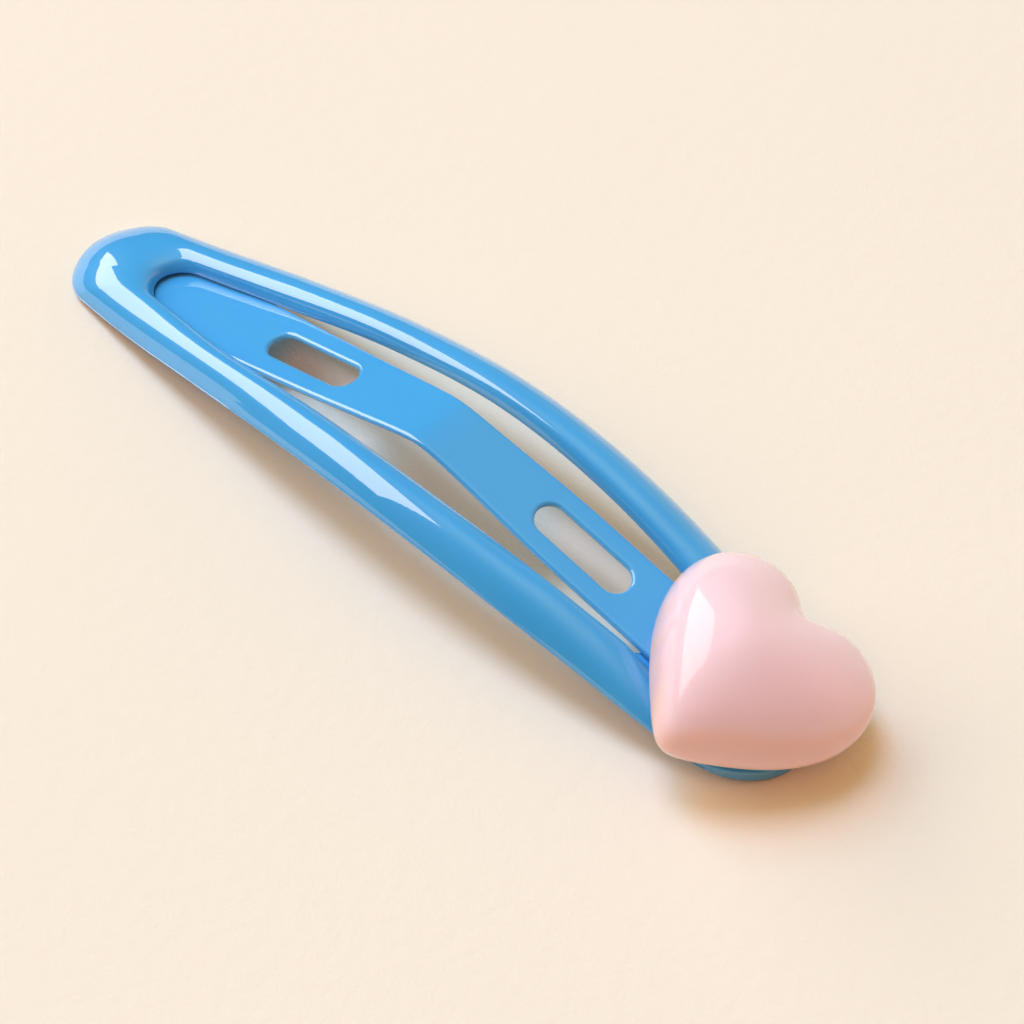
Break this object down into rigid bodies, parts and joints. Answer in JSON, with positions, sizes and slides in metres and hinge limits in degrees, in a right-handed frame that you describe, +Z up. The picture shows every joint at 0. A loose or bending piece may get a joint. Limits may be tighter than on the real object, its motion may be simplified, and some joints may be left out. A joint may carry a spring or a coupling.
{
  "type": "snap hair clip",
  "caption": "Bowed snap hair clip with a slotted spring tongue and a puffed heart glued over its wide end.",
  "frame": {"origin": "foot of the narrow tip: the middle of its pressed rim, on the plane that the clip rests on", "axes": "+X runs along the clip from the narrow tip to the wide end with the heart, +Z is up, +Y is the side toward which the heart's notch points"},
  "size_m": [0.0679, 0.0156, 0.0119],
  "materials": {
    "blue_enamel": "gloss",
    "plain_steel": "satin",
    "clear_glue": "gloss",
    "pink_resin": "gloss"
  },
  "bodies": {
    "clip": {"frame": "blue_enamel", "tongue_root": "blue_enamel", "rivet": "plain_steel", "glue": "clear_glue", "heart": "pink_resin"},
    "tongue": {"tongue": "blue_enamel"}
  },
  "joints": [
    {"name": "tongue_snap", "type": "hinge", "parent": "clip", "child": "tongue", "pos_m": [0.0531, 0, 0.00385], "axis": [0, -1, 0], "range_deg": [0, 24]}
  ]
}
